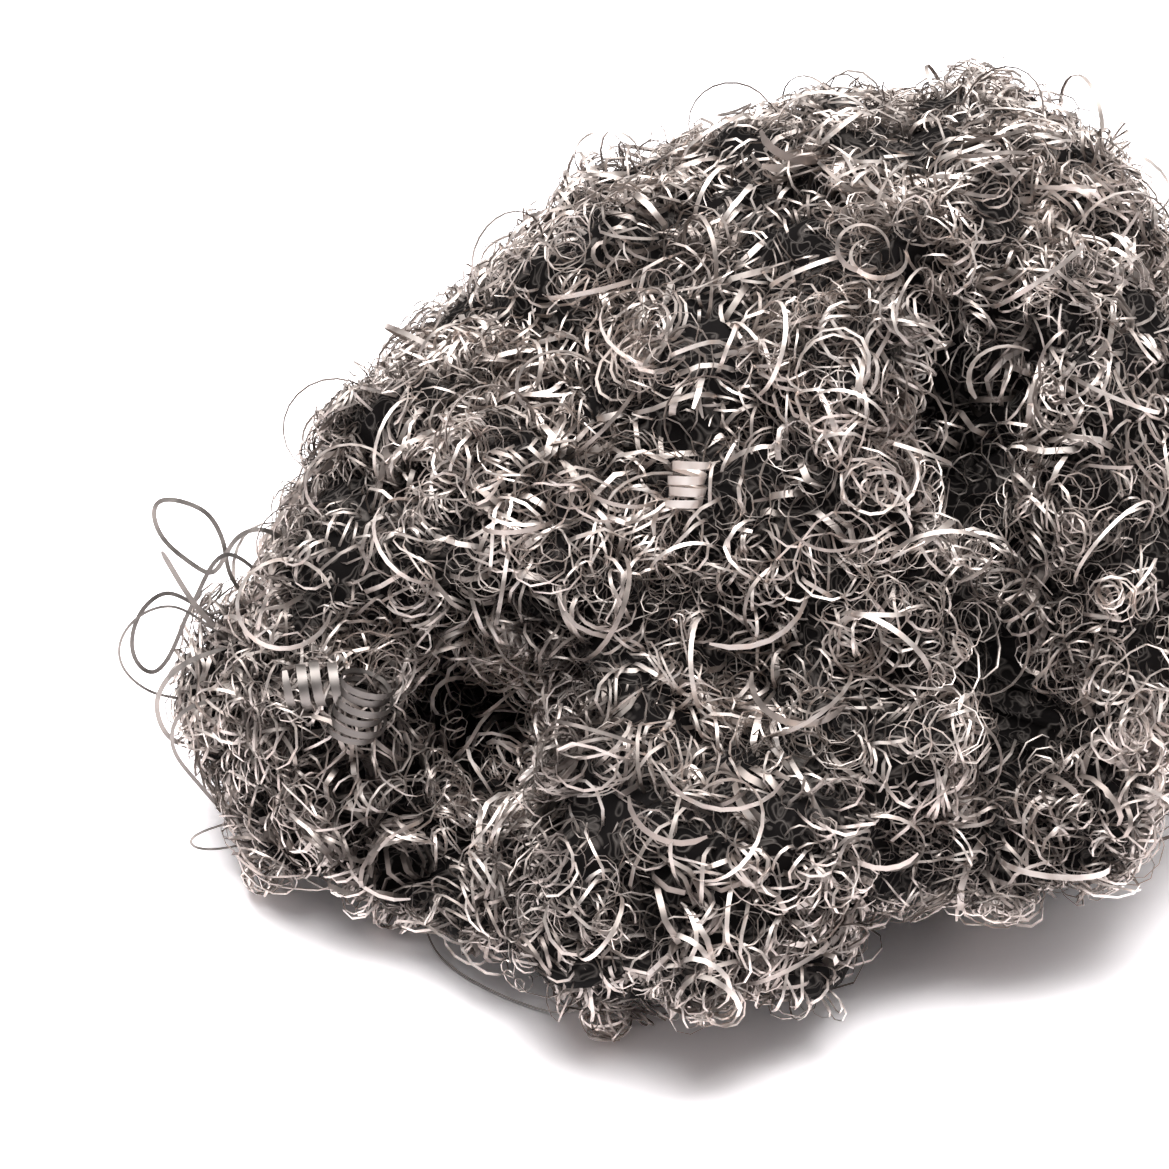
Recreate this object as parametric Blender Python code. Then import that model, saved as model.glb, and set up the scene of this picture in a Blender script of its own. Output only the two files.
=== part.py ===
"""A loose roll of coarse, curly steel wool, lying on its side.

The wool is one tangled mass, so it is one solid: a lumpy roll with an open hollow in its near
end, a crease where two turns part, and the curled ribbons that stand out of its surface.
"""
import math
import random

import bmesh
import bpy
import numpy as np
from mathutils import Matrix, Vector, noise

MM = 0.001

# The whole roll, strands and all. The shapes below are drawn at about this size, and brought to it.
ROLL_LENGTH = 125.5
ROLL_WIDTH = 123.0
ROLL_HEIGHT = 75.0

# The lobes that the mass swells into: centre and half axes.
LOBES = {
    "top": ((31.0, 68.0, 34.0), (38.0, 46.0, 36.0)),
    "right_end": ((47.0, 68.0, 34.5), (25.0, 47.0, 36.5)),
    "crest": ((9.0, 72.0, 43.0), (21.0, 22.0, 19.5)),
    "shoulder": ((0.0, 57.0, 26.0), (33.0, 34.5, 28.0)),
    "near_end": ((-25.0, 42.0, 18.0), (17.0, 24.0, 19.0)),
    "near_corner": ((-29.5, 33.0, 9.5), (9.5, 9.5, 10.0)),
    "lip": ((-15.5, 27.5, 11.0), (16.5, 16.5, 11.0)),
    "front": ((10.0, 22.0, 16.5), (26.0, 27.0, 17.5)),
    "right_front": ((42.0, 42.0, 23.0), (29.0, 33.0, 25.0)),
}
LOBE_BLEND = 6.0

# What is hollowed out of it: centre, half axes, the turns about Z and X, and the blend.
HOLLOW = ((-13.5, 16.0, 27.5), (11.5, 24.0, 14.0), -15.0, -25.0, 4.0)
CREASE = ((41.5, 27.0, 51.0), (5.4, 36.0, 14.0), 13.0, 47.0, 8.0)

# The middle that the surface is measured from, and how finely it is divided.
HEART = Vector((18.0, 52.0, 22.0))
GRID_STEPS = 48
MARCH_STEPS = 180
HALVINGS = 18
SLOPE_STEP = 0.05
FACE_SIZE = 4.8
SETTLE_ROUNDS = 3
SETTLE_STEPS = 5
SETTLE_MOST = 1.2
RELAX_STEPS = 3
REST_FLAT_Z = 0.0

# Tufts: how far they stand out, and how wide they are.
TUFT_HEIGHT = 4.6
TUFT_WIDTH = 12.0
SMALL_TUFT_HEIGHT = 2.6
SMALL_TUFT_WIDTH = 6.5
SMALL_TUFT_SHIFT = Vector((31.0, 7.0, 3.0))
FLAT_REACH = 7.0

# The curled ribbons over the surface.
CURL_COUNT = 165
CURL_RADIUS = (3.4, 5.8)
CURL_LEAN_DEG = (20.0, 45.0)
CURL_SWEEP_DEG = 262.0
CURL_STEPS = 8
CURL_SINK = 0.34
RIBBON_WIDTH = 1.5
RIBBON_THICKNESS = 0.8
LOWEST_CURL_Z = 10.0
CLEAR_OF_COILS = 7.0
SEED = 11

# Wide curls that catch the light: place on the surface, way up, way along, radius, sweep.
NOTED_CURLS = (
    ((11.7, 31.7, 47.6), (0.0, 0.35, 0.93), (1.0, 0.0, 0.0), 6.6, 240.0),
    ((22.4, 20.6, 35.0), (0.2, -0.85, -0.35), (0.9, 0.1, 0.2), 4.6, 240.0),
    ((13.8, 11.9, 32.5), (0.1, 0.2, 0.95), (1.0, -0.2, 0.0), 6.8, 230.0),
    ((24.1, 73.0, 69.0), (0.3, -0.3, 0.9), (0.8, 0.5, 0.0), 3.6, 250.0),
    ((29.5, 50.9, 67.3), (-0.5, 0.5, 0.7), (0.7, 0.6, 0.0), 3.2, 260.0),
    ((-31.5, 33.0, 35.5), (0.3, -0.75, 0.35), (0.9, 0.3, 0.1), 5.0, 260.0),
)

# Tight coils: middle of the axis, way along it, radius, ribbon width, pitch and turns.
TIGHT_COILS = (
    ((-29.0, 25.4, 30.6), (1.0, 0.05, 0.02), 2.2, 1.1, 1.6, 3.6),
    ((-22.6, 24.6, 29.0), (0.12, 0.45, 0.88), 2.6, 0.7, 1.0, 4.4),
    ((10.4, 33.6, 49.4), (0.15, 0.5, 0.85), 1.8, 0.9, 1.3, 3.6),
)
COIL_STEPS_PER_TURN = 10
COIL_THICKNESS = 0.45
COIL_SINK = 0.45

# Loose strands that leave the surface and come back to it, as points along them.
STRAND_WIDTH = 0.55
STRAND_SIDE_COUNT = 3
ROOT_LENGTH = 6.0
LOOSE_STRANDS = (
    (
        (-37.0, 46.0, 26.0), (-39.1, 46.0, 29.2), (-38.8, 46.4, 32.9), (-40.2, 46.8, 36.3),
        (-41.6, 47.0, 37.6), (-45.5, 47.0, 39.0), (-46.6, 46.6, 37.1), (-45.8, 46.0, 33.9),
        (-43.4, 45.4, 31.9), (-41.4, 45.0, 30.3), (-40.1, 44.8, 30.2), (-38.8, 44.8, 32.6),
        (-37.6, 45.0, 34.9), (-35.6, 45.4, 35.8), (-33.4, 46.0, 35.0), (-30.6, 46.0, 32.0),
    ),
    (
        (-34.0, 42.0, 31.0), (-37.6, 42.4, 35.4), (-40.0, 42.4, 33.4), (-41.9, 42.2, 28.9),
        (-43.4, 42.0, 26.3), (-44.8, 41.6, 22.5), (-46.6, 41.2, 19.6), (-48.1, 41.0, 19.5),
        (-49.4, 41.0, 21.7), (-49.3, 41.4, 24.6), (-48.0, 42.0, 27.6), (-45.9, 42.4, 29.3),
        (-44.0, 42.4, 29.5), (-40.0, 42.0, 26.1),
    ),
    (
        (-38.0, 38.0, 26.0), (-42.2, 38.0, 30.3), (-44.2, 38.0, 31.0), (-46.8, 38.0, 30.3),
        (-49.1, 37.6, 28.2), (-50.2, 37.4, 25.5), (-49.8, 37.2, 22.7), (-47.9, 37.0, 20.6),
        (-46.2, 37.0, 19.6), (-44.5, 37.4, 19.0), (-42.8, 38.0, 17.7), (-39.5, 38.0, 16.0),
    ),
    (
        (-38.5, 37.0, 26.0), (-43.4, 36.0, 24.9), (-45.8, 35.6, 21.4), (-46.4, 35.4, 19.2),
        (-45.9, 35.2, 16.2), (-44.8, 35.2, 14.6), (-42.3, 35.4, 13.2), (-39.0, 36.0, 13.4),
    ),
    (
        (-38.3, 32.6, 22.6), (-42.5, 31.6, 22.5), (-44.2, 31.4, 19.5), (-44.3, 31.4, 16.7),
        (-43.5, 31.6, 14.2), (-41.6, 32.0, 10.7), (-39.0, 32.0, 6.1), (-35.9, 32.4, 5.6),
        (-31.0, 33.0, 8.0),
    ),
    ((-32.0, 31.0, 9.0), (-41.0, 30.0, 6.7), (-43.9, 30.0, 4.8), (-41.3, 30.0, 2.6), (-31.0, 32.0, 5.0)),
    (
        (-18.0, 25.0, 2.0), (-17.1, 19.7, 0.8), (-15.4, 15.9, 0.5), (-12.1, 12.8, 0.5),
        (-8.2, 10.1, 0.5), (-4.6, 8.4, 0.5), (-0.7, 6.8, 1.0), (4.5, 9.4, 5.0),
    ),
)
FREE_END = ((-44.8, 40.4, 36.3), (-43.4, 40.2, 33.0), (-41.8, 40.0, 29.3), (-38.4, 40.0, 24.2))


def ellipsoid_distance(p, centre, half, turn_z=0.0, turn_x=0.0):
    """Roughly how far outside an ellipsoid each point is, below zero inside it."""
    turned = Matrix.Rotation(math.radians(turn_z), 3, "Z") @ Matrix.Rotation(
        math.radians(turn_x), 3, "X"
    )
    local = (p - np.array(centre)) @ np.array(turned)
    half = np.array(half)
    near = np.linalg.norm(local / half, axis=1)
    steep = np.linalg.norm(local / half**2, axis=1) + 1e-9
    return near * (near - 1.0) / steep


def blend_lowest(a, b, k):
    h = np.clip(0.5 + 0.5 * (b - a) / k, 0.0, 1.0)
    return b * (1 - h) + a * h - k * h * (1 - h)


def mass_distance(p):
    """How far outside the smooth mass each point is."""
    d = None
    for centre, half in LOBES.values():
        lobe = ellipsoid_distance(p, centre, half)
        d = lobe if d is None else blend_lowest(d, lobe, LOBE_BLEND)
    for *cut, blend in (HOLLOW, CREASE):
        d = -blend_lowest(-d, ellipsoid_distance(p, *cut), blend)
    return d


def surface_along(directions):
    """The distance from the heart to the surface along each direction."""
    heart = np.array(HEART)
    low = np.zeros(len(directions))
    reach = max((Vector(c) - HEART).length + max(half) for c, half in LOBES.values())
    steps = np.linspace(0.0, reach, MARCH_STEPS + 1)
    found = np.zeros(len(directions), bool)
    for near, far in zip(steps, steps[1:]):
        outside = mass_distance(heart + directions * far) > 0
        fresh = outside & ~found
        low[fresh] = near
        found |= outside
    high = low + steps[1]
    for _ in range(HALVINGS):
        middle = 0.5 * (low + high)
        outside = mass_distance(heart + directions * middle[:, None]) > 0
        high = np.where(outside, middle, high)
        low = np.where(outside, low, middle)
    return 0.5 * (low + high)


def outward(p):
    """The direction that leaves the mass fastest at each point."""
    slopes = [
        mass_distance(p + step) - mass_distance(p - step)
        for step in np.eye(3) * SLOPE_STEP
    ]
    n = np.array(slopes).T
    return n / (np.linalg.norm(n, axis=1)[:, None] + 1e-9)


def tufts(p):
    """How far the wool stands out at a point, in lumps of two sizes."""
    at = Vector(p)
    large = noise.noise(at / TUFT_WIDTH)
    small = noise.noise(at / SMALL_TUFT_WIDTH + SMALL_TUFT_SHIFT)
    return TUFT_HEIGHT * large + SMALL_TUFT_HEIGHT * small


def make_mass():
    """The lumpy mass as a closed mesh, flat where it rests."""
    bm = bmesh.new()
    bmesh.ops.create_cube(bm, size=2.0)
    bmesh.ops.subdivide_edges(bm, edges=bm.edges[:], cuts=GRID_STEPS - 1, use_grid_fill=True)
    rays = np.array([v.co for v in bm.verts])
    rays = np.tan(rays * math.pi / 4.0)
    rays /= np.linalg.norm(rays, axis=1)[:, None]
    points = np.array(HEART) + rays * surface_along(rays)[:, None]
    for v, p in zip(bm.verts, points):
        v.co = Vector(p) * MM
    for _ in range(SETTLE_ROUNDS):
        bm = even_faces(bm)
        for _ in range(RELAX_STEPS):
            bmesh.ops.smooth_vert(
                bm, verts=bm.verts, factor=0.5, use_axis_x=True, use_axis_y=True, use_axis_z=True
            )
        points = np.array([v.co for v in bm.verts]) / MM
        for _ in range(SETTLE_STEPS):
            away = np.clip(mass_distance(points), -SETTLE_MOST, SETTLE_MOST)
            points -= outward(points) * away[:, None]
        for v, p in zip(bm.verts, points):
            v.co = Vector(p) * MM
    even = bm
    normals = outward(points)
    for v, p, n in zip(even.verts, points, normals):
        fade = min(1.0, max(0.0, p[2] / FLAT_REACH))
        moved = Vector(p) + Vector(n) * tufts(p) * fade
        moved.z = max(moved.z, REST_FLAT_Z)
        v.co = moved * MM
    bmesh.ops.triangulate(even, faces=even.faces[:])
    bmesh.ops.recalc_face_normals(even, faces=even.faces[:])
    return even


def even_faces(bm):
    """The same form, divided into faces of one size."""
    mesh = bpy.data.meshes.new("even")
    bm.to_mesh(mesh)
    bm.free()
    obj = bpy.data.objects.new("even", mesh)
    bpy.context.scene.collection.objects.link(obj)
    remesh = obj.modifiers.new("even", "REMESH")
    remesh.mode = "VOXEL"
    remesh.voxel_size = FACE_SIZE * MM
    graph = bpy.context.evaluated_depsgraph_get()
    even = bmesh.new()
    even.from_mesh(obj.evaluated_get(graph).to_mesh())
    bpy.data.objects.remove(obj, do_unlink=True)
    return even


def arc(bm, centre, axis, start, angle, steps, width, thickness, drift=0.0):
    """A ribbon bent round an axis, from a start point, with its flat side outward."""
    axis = axis.normalized()
    out = (start - centre).normalized()
    across = axis * width / 2
    corners = [start - across, start + across, start - out * thickness]
    profile = bm.faces.new([bm.verts.new(c * MM) for c in corners])
    bmesh.ops.spin(
        bm,
        geom=[profile, *profile.edges, *profile.verts],
        cent=centre * MM,
        axis=axis,
        angle=angle,
        steps=steps,
        dvec=axis * (drift / steps) * MM,
        use_merge=False,
    )


def spread_directions(count):
    """Directions spread evenly all round."""
    golden = math.pi * (3.0 - math.sqrt(5.0))
    for i in range(count):
        z = 1.0 - 2.0 * (i + 0.5) / count
        r = math.sqrt(1.0 - z * z)
        yield Vector((r * math.cos(golden * i), r * math.sin(golden * i), z))


def add_curl(bm, point, up, side, radius, sweep_deg, sink):
    """A ribbon that loops out of a point on the surface, with both ends buried."""
    axis = side.cross(up).normalized()
    up = axis.cross(side).normalized()
    centre = point - up * sink
    half = math.radians(sweep_deg / 2)
    start = up * radius
    start.rotate(Matrix.Rotation(-half, 3, axis))
    arc(bm, centre, axis, centre + start, 2 * half, CURL_STEPS, RIBBON_WIDTH, RIBBON_THICKNESS)


def on_surface(point):
    """The nearest place on the tufted surface, and the way out of it."""
    p = np.array([point], float)
    for _ in range(SETTLE_STEPS):
        p -= outward(p) * mass_distance(p)[:, None]
    n = Vector(outward(p)[0])
    return Vector(p[0]) + n * tufts(p[0]), n


def add_scattered_curls(bm):
    rng = random.Random(SEED)
    rays = np.array(list(spread_directions(CURL_COUNT)))
    points = np.array(HEART) + rays * surface_along(rays)[:, None]
    for at in points:
        p, n = on_surface(at)
        radius = rng.uniform(*CURL_RADIUS)
        lean = math.radians(rng.uniform(*CURL_LEAN_DEG))
        heading = math.radians(rng.uniform(0.0, 360.0))
        near_coil = min((p - Vector(coil[0])).length for coil in TIGHT_COILS)
        if p.z < LOWEST_CURL_Z or near_coil < CLEAR_OF_COILS:
            continue
        side = n.orthogonal().normalized()
        side.rotate(Matrix.Rotation(heading, 3, n))
        up = n.copy()
        up.rotate(Matrix.Rotation(lean, 3, side))
        add_curl(bm, p, up, side, radius, CURL_SWEEP_DEG, CURL_SINK * radius)


def add_coil(bm, middle, along, radius, width, pitch, turns):
    """A ribbon wound tightly along an axis, half sunk in the wool."""
    middle, outside = on_surface(middle)
    middle -= outside * COIL_SINK * radius
    along = Vector(along).normalized()
    out = along.orthogonal().normalized()
    length = pitch * turns
    centre = middle - along * length / 2
    steps = round(turns * COIL_STEPS_PER_TURN)
    arc(
        bm, centre, along, centre + out * radius, math.tau * turns, steps, width, COIL_THICKNESS,
        length,
    )


def rooted(end):
    """A point further in than a strand's end."""
    end = Vector(end)
    return end + (HEART - end).normalized() * ROOT_LENGTH


def add_strand(bm, points):
    """A thin strand through points, closed at both ends."""
    points = [Vector(p) for p in points]
    side = (points[1] - points[0]).orthogonal().normalized()
    rings = []
    for i, p in enumerate(points):
        along = (points[min(i + 1, len(points) - 1)] - points[max(i - 1, 0)]).normalized()
        side = (side - along * side.dot(along)).normalized()
        ring = []
        for k in range(STRAND_SIDE_COUNT):
            spoke = side.copy()
            spoke.rotate(Matrix.Rotation(math.tau * k / STRAND_SIDE_COUNT, 3, along))
            ring.append(bm.verts.new((p + spoke * STRAND_WIDTH / 2) * MM))
        rings.append(ring)
    for near, far in zip(rings, rings[1:]):
        for k in range(STRAND_SIDE_COUNT):
            after = (k + 1) % STRAND_SIDE_COUNT
            bm.faces.new((near[k], near[after], far[after], far[k]))
    bm.faces.new(rings[0])
    bm.faces.new(rings[-1])


def make_curls():
    """Every ribbon and strand that stands out of the surface."""
    bm = bmesh.new()
    add_scattered_curls(bm)
    for point, up, side, radius, sweep_deg in NOTED_CURLS:
        sink = CURL_SINK * radius
        add_curl(bm, on_surface(point)[0], Vector(up), Vector(side), radius, sweep_deg, sink)
    for coil in TIGHT_COILS:
        add_coil(bm, *coil)
    for points in LOOSE_STRANDS:
        add_strand(bm, [rooted(points[0]), *points, rooted(points[-1])])
    add_strand(bm, [*FREE_END, rooted(FREE_END[-1])])
    bmesh.ops.recalc_face_normals(bm, faces=bm.faces[:])
    return bm


def add_object(name, bm, material):
    mesh = bpy.data.meshes.new(name)
    bm.to_mesh(mesh)
    bm.free()
    obj = bpy.data.objects.new(name, mesh)
    bpy.context.scene.collection.objects.link(obj)
    mesh.materials.append(material)
    mesh.shade_smooth()
    return obj


def steel():
    mat = bpy.data.materials.new("curly_steel")
    mat.use_nodes = True
    shader = mat.node_tree.nodes["Principled BSDF"]
    shader.inputs["Base Color"].default_value = (0.42, 0.39, 0.37, 1.0)
    shader.inputs["Metallic"].default_value = 1.0
    shader.inputs["Roughness"].default_value = 0.38
    return mat


def bring_to_size(body, others):
    """Scales the meshes to the roll's size, with the middle of its outline over the origin."""
    graph = bpy.context.evaluated_depsgraph_get()
    shown = body.evaluated_get(graph)
    corners = np.array([v.co for v in shown.to_mesh().vertices])
    shown.to_mesh_clear()
    low, high = corners.min(0), corners.max(0)
    drawn = (high - low) / MM
    middle = Vector(((low[0] + high[0]) / 2, (low[1] + high[1]) / 2, low[2]))
    scale = Vector((ROLL_LENGTH / drawn[0], ROLL_WIDTH / drawn[1], ROLL_HEIGHT / drawn[2]))
    print("the middle was at", [round(c / MM, 2) for c in middle], "mm")
    print("the scale is", [round(c, 4) for c in scale])
    for obj in (body, *others):
        obj.data.transform(Matrix.Diagonal(scale).to_4x4() @ Matrix.Translation(-middle))


def build():
    for obj in list(bpy.data.objects):
        bpy.data.objects.remove(obj, do_unlink=True)
    material = steel()
    body = add_object("wool_roll", make_mass(), material)
    curls = add_object("curls_cutter", make_curls(), material)
    curls.hide_render = True
    curls.display_type = "WIRE"
    union = body.modifiers.new("curls", "BOOLEAN")
    union.operation = "UNION"
    union.solver = "EXACT"
    union.use_self = True
    union.object = curls
    bring_to_size(body, [curls])


build()
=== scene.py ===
# %% [markdown]
# # A loose roll of coarse steel wool
#
# Coarse steel wool is shaved off steel wire in thin, three-cornered ribbons. The knife curls
# them as it cuts, so they come off as springy coils that catch in each other. A maker pulls the
# tangle into a long batt and rolls it up loosely. What the eye sees is not a surface but
# thousands of curls at several sizes, with dark air between them.
#
# The lesson builds it in that order: a dark heart that stops the eye from seeing through, then
# layers of curled ribbon wound over and through its skin, and last the few big ribbons, tight
# coils and stray loops that anyone would notice first.

import math
import random

import bmesh
import bpy
import numpy as np
from mathutils import Matrix, Vector, noise


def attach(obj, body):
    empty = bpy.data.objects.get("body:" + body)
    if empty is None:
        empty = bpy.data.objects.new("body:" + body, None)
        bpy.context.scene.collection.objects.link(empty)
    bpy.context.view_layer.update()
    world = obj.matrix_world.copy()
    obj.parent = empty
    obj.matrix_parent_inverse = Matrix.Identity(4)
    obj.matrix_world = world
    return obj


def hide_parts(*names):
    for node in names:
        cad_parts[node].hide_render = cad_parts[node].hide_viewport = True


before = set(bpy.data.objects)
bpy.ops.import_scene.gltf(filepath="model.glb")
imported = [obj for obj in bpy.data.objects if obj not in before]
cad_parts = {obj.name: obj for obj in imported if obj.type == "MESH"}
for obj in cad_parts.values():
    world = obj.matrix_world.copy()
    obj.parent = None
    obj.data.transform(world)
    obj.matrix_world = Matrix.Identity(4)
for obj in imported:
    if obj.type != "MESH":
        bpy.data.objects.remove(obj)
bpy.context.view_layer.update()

# %% [markdown]
# ## The camera
#
# The roll was seen from its near side, from above, with a long lens that flattens it. Sizes are
# easier to think about in millimetres, measured from a point in front of the roll, so the
# helpers below turn such a place into metres about the frame's origin.

# %% Millimetres to metres, and the camera
MM = 0.001
DRAWN_MIDDLE = np.array((12.30, 54.97, 0.0))
CAMERA_HEIGHT_DEG = 36.0
CAMERA_DISTANCE = 307.0
LENS_MM, SENSOR_MM = 85.0, 36.0
LOOKS_AT = (0.0, 50.0, 25.0)


def metres(points):
    """Drawn millimetres as metres about the frame's origin."""
    return (np.asarray(points, float) - DRAWN_MIDDLE) * MM


down = math.radians(CAMERA_HEIGHT_DEG)
behind = Vector((0.0, -math.cos(down), math.sin(down))) * CAMERA_DISTANCE
lens = bpy.data.cameras.new("camera")
lens.lens = LENS_MM
lens.sensor_width = SENSOR_MM
lens.clip_start = 0.01
camera = bpy.data.objects.new("camera", lens)
camera.location = metres(Vector(LOOKS_AT) + behind)
camera.rotation_euler = (math.pi / 2 - down, 0.0, 0.0)
bpy.context.scene.collection.objects.link(camera)
bpy.context.scene.camera = camera
bpy.context.scene.view_settings.view_transform = "Standard"
print("the camera stands", round(camera.location.z * 1000), "mm up")

# %% [markdown]
# ## The form of the roll
#
# The tangle needs a skin to wind over. It is described as a distance: lobes blended into each
# other, with the hollow in the near end and the crease between two turns taken out. The same
# numbers shaped the solid, so the curls sit where it is. For ribbons the crease is shallower,
# and for the looser layers the hollow is too, because loose curls bridge them. Tufts then lift
# and sink the skin.

# %% The blended lobes
LOBES = (
    ((31.0, 68.0, 34.0), (38.0, 46.0, 36.0)),
    ((47.0, 68.0, 34.5), (25.0, 47.0, 36.5)),
    ((9.0, 72.0, 43.0), (21.0, 22.0, 19.5)),
    ((0.0, 57.0, 26.0), (33.0, 34.5, 28.0)),
    ((-25.0, 42.0, 18.0), (17.0, 24.0, 19.0)),
    ((-29.5, 33.0, 9.5), (9.5, 9.5, 10.0)),
    ((-15.5, 27.5, 11.0), (16.5, 16.5, 11.0)),
    ((10.0, 22.0, 16.5), (26.0, 27.0, 17.5)),
    ((42.0, 42.0, 23.0), (29.0, 33.0, 25.0)),
)
LOBE_BLEND = 6.0

# Each cut: middle, half sizes, turn about z and about x in degrees, width of the blend.
HOLLOW = ((-13.5, 16.0, 27.5), (11.5, 24.0, 14.0), -15.0, -25.0, 4.0)
CREASE = ((41.5, 27.0, 51.0), (5.4, 36.0, 14.0), 13.0, 47.0, 8.0)
BRIDGED_HOLLOW = ((-13.5, 16.0, 27.5), (8.2, 17.5, 10.0), -15.0, -25.0, 5.0)
BRIDGED_CREASE = ((41.5, 27.0, 51.0), (3.6, 34.0, 9.0), 13.0, 47.0, 8.0)
SOLID_CUTS = (HOLLOW, CREASE)
RIBBON_CUTS = (HOLLOW, BRIDGED_CREASE)
BRIDGED_CUTS = (BRIDGED_HOLLOW, BRIDGED_CREASE)

# The middle of the roll, that rays to its skin start from, and a small step for slopes.
HEART = np.array((18.0, 52.0, 22.0))
SLOPE_STEP = 0.05


def lobe_distance(p, centre, half, turn_z=0.0, turn_x=0.0):
    """Roughly how far outside an ellipsoid each point is, below zero inside it."""
    turned = Matrix.Rotation(math.radians(turn_z), 3, "Z") @ Matrix.Rotation(
        math.radians(turn_x), 3, "X"
    )
    local = (p - np.array(centre)) @ np.array(turned)
    near = np.linalg.norm(local / half, axis=-1)
    steep = np.linalg.norm(local / np.square(half), axis=-1) + 1e-9
    return near * (near - 1.0) / steep


def blended(a, b, width):
    """The lower of two distances, with the corner between them rounded."""
    h = np.clip(0.5 + 0.5 * (b - a) / width, 0.0, 1.0)
    return b * (1.0 - h) + a * h - width * h * (1.0 - h)


def skin_distance(p, cuts=RIBBON_CUTS):
    """How far each point is outside the smooth form."""
    d = lobe_distance(p, *LOBES[0])
    for lobe in LOBES[1:]:
        d = blended(d, lobe_distance(p, *lobe), LOBE_BLEND)
    for *cut, width in cuts:
        d = -blended(-d, lobe_distance(p, *cut), width)
    return d


print("the middle lies roughly", round(float(-skin_distance(HEART))), "mm under the skin")


# %% Ways out of the form
def unit(v):
    """The same directions, one unit long."""
    return v / (np.linalg.norm(v, axis=-1, keepdims=True) + 1e-9)


def way_out(p, cuts=RIBBON_CUTS):
    """The direction that leaves the form fastest at each point."""
    steps = np.eye(3) * SLOPE_STEP
    slopes = [skin_distance(p + step, cuts) - skin_distance(p - step, cuts) for step in steps]
    return unit(np.stack(slopes, axis=-1))


# %% The tufts
TUFTS = (
    # height, width, shift of the noise
    (4.6, 12.0, (0.0, 0.0, 0.0)),
    (2.6, 6.5, (31.0, 7.0, 3.0)),
)
TUFTS_FULL_FROM = 7.0


def lumps(p, wide, shift):
    """A smooth random value between about -1 and 1 at each point."""
    shift = Vector(shift)
    flat = p.reshape(-1, 3)
    return np.array([noise.noise(Vector(q) / wide + shift) for q in flat]).reshape(p.shape[:-1])


def tuft_height(p):
    """How far the wool stands out of the smooth form at each point."""
    height = sum(tall * lumps(p, wide, shift) for tall, wide, shift in TUFTS)
    return height * np.clip(p[..., 2] / TUFTS_FULL_FROM, 0.0, 1.0)


print("the tufts lift the skin by", round(sum(tall for tall, _, _ in TUFTS), 1), "mm at most")


# %% [markdown]
# ## The heart
#
# Deep in real wool the ribbons are so many that no light gets out. Filling the whole roll with
# them would be a waste, so a dark, rough body stands for all that lies too deep to see. It is
# a cube cut into a fine grid, with every corner pushed out to just under the skin.

# %% Shape the heart
HEART_ROWS = 44
HEART_DEPTH = 1.6
HEART_LOWEST = 0.6
GAP_DEPTH = 0.9
GAPS = (7.5, (5.0, 17.0, 29.0))
FARTHEST, FIRST_STEPS, HALVINGS = 95.0, 191, 12


def reach_skin(rays, cuts):
    """How far the skin is from the middle of the roll along each ray."""
    low = np.zeros(len(rays))
    found = np.zeros(len(rays), bool)
    steps = np.linspace(0.0, FARTHEST, FIRST_STEPS)
    for near, far in zip(steps, steps[1:]):
        outside = skin_distance(HEART + rays * far, cuts) > 0
        low[outside & ~found] = near
        found |= outside
    high = low + steps[1]
    for _ in range(HALVINGS):
        middle = (low + high) / 2
        outside = skin_distance(HEART + rays * middle[:, None], cuts) > 0
        high = np.where(outside, middle, high)
        low = np.where(outside, low, middle)
    return (low + high) / 2


bm = bmesh.new()
bmesh.ops.create_cube(bm, size=2.0)
bmesh.ops.subdivide_edges(bm, edges=bm.edges[:], cuts=HEART_ROWS - 1, use_grid_fill=True)
rays = unit(np.tan(np.array([v.co for v in bm.verts]) * math.pi / 4))
points = HEART + rays * reach_skin(rays, SOLID_CUTS)[:, None]
sunk = HEART_DEPTH + GAP_DEPTH * (1.0 - lumps(points, *GAPS))
points += way_out(points, SOLID_CUTS) * (tuft_height(points) - sunk)[:, None]
points[:, 2] = np.maximum(points[:, 2], HEART_LOWEST)
for v, p in zip(bm.verts, metres(points)):
    v.co = p
bmesh.ops.recalc_face_normals(bm, faces=bm.faces[:])
mesh = bpy.data.meshes.new("wool_heart")
bm.to_mesh(mesh)
bm.free()
mesh.shade_smooth()
heart = bpy.data.objects.new("wool_heart", mesh)
bpy.context.scene.collection.objects.link(heart)
print("the heart has", len(heart.data.polygons), "faces")

# %% [markdown]
# ## Curled ribbon
#
# A curl is a circle whose centre walks along as it goes round. Each ribbon starts somewhere on
# the skin and takes a wandering walk over it, while its circle leans this way and that. The
# ends dive under, as they are caught in the tangle. Hair strands could be groomed like this
# too, but a strand has no flat side to mirror the light, and a ribbon of real faces keeps its
# form wherever the model goes. All the ribbons of one size are worked out together as arrays,
# which is quick, and then drawn as curves with a three-cornered section.

# %% Where ribbons start
solid = bpy.data.objects["wool_roll"]
corners = np.zeros(len(solid.data.vertices) * 3)
solid.data.vertices.foreach_get("co", corners)
corners = corners.reshape(-1, 3) / MM + DRAWN_MIDDLE
solid.data.calc_loop_triangles()
sides = np.zeros(len(solid.data.loop_triangles) * 3, int)
solid.data.loop_triangles.foreach_get("vertices", sides)
sides = corners[sides.reshape(-1, 3)]
areas = np.linalg.norm(np.cross(sides[:, 1] - sides[:, 0], sides[:, 2] - sides[:, 0]), axis=1)
print("the solid's skin is", round(areas.sum() / 200), "square centimetres")


FACES_DOWN = -0.6
SHARE_UNDERNEATH = 0.25
SHARE_IN_GAPS = 0.45


def settle(p, depth, cuts=RIBBON_CUTS, steps=4):
    """Moves points to a depth under the tufted skin."""
    for _ in range(steps):
        p = p - way_out(p, cuts) * (skin_distance(p, cuts) - tuft_height(p) + depth)[:, None]
    return p


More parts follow.
